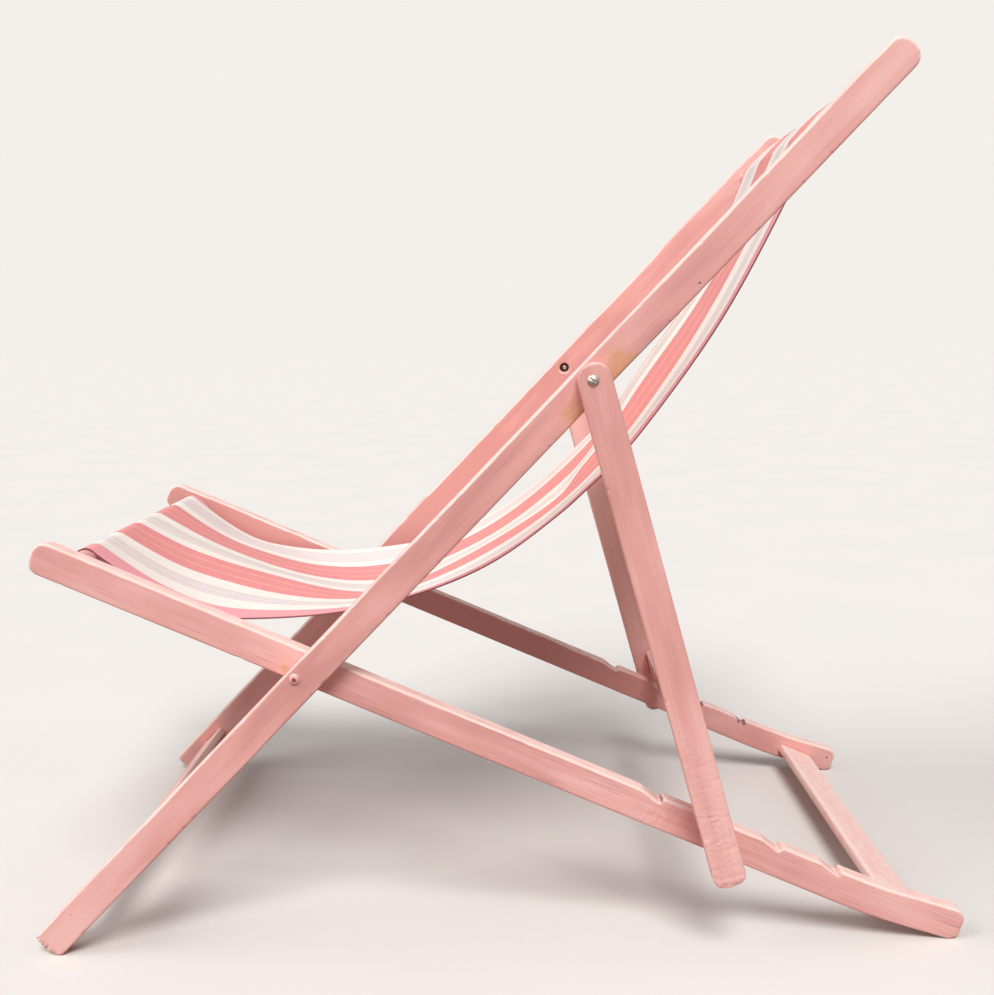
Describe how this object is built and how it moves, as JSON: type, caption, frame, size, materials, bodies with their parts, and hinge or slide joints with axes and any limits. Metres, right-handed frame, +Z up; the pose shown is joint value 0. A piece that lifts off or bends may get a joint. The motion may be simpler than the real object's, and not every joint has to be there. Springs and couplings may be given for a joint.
{
  "type": "folding sling deck chair",
  "caption": "Folding wooden deck chair with a hung striped canvas sling, its back held by a prop bar in a row of notches.",
  "frame": {"origin": "on the ground, under the middle of the chair's length and width", "axes": "+Z up, +Y to the sitter's right, -X the way the sitter faces"},
  "size_m": [1.034, 0.6332, 0.9646],
  "materials": {
    "pink_paint": "old pink gloss paint on softwood, worn and chipped at ends and edges",
    "striped_canvas": "woven cotton canvas, lengthwise stripes in coral, white, pale lilac and pink",
    "bolt_steel": "dull zinc-plated steel, slightly tarnished",
    "painted_steel": "painted over with the rails, dark in the slot",
    "tack_steel": "blued steel tacks"
  },
  "bodies": {
    "back_frame": {"back_rail_left": "pink_paint", "back_rail_right": "pink_paint", "top_bar": "pink_paint", "lower_crossbar": "pink_paint", "sling": "striped_canvas", "top_tacks": "tack_steel", "upper_pivot_bolts": "bolt_steel", "upper_pivot_washers": "bolt_steel", "upper_pivot_nuts": "bolt_steel", "lower_pivot_bolts": "painted_steel", "lower_pivot_washers": "bolt_steel", "lower_pivot_nuts": "bolt_steel"},
    "seat_frame": {"seat_rail_left": "pink_paint", "seat_rail_right": "pink_paint", "front_bar": "pink_paint", "rear_bar": "pink_paint", "front_tacks": "tack_steel"},
    "prop_frame": {"prop_leg_left": "pink_paint", "prop_leg_right": "pink_paint", "prop_bar": "pink_paint"}
  },
  "joints": [
    {"name": "seat_fold", "type": "hinge", "parent": "back_frame", "child": "seat_frame", "pos_m": [-0.21902, 0, 0.31359], "axis": [0, -1, 0], "range_deg": [0, 69.44], "deforming": ["sling"]},
    {"name": "prop_swing", "type": "hinge", "parent": "back_frame", "child": "prop_frame", "pos_m": [0.09884, 0, 0.62911], "axis": [0, -1, 0], "range_deg": [0, 120.64]}
  ],
  "couplings": [
    {"joint": "prop_swing", "follows": "seat_fold", "ratio": 1.7373}
  ]
}
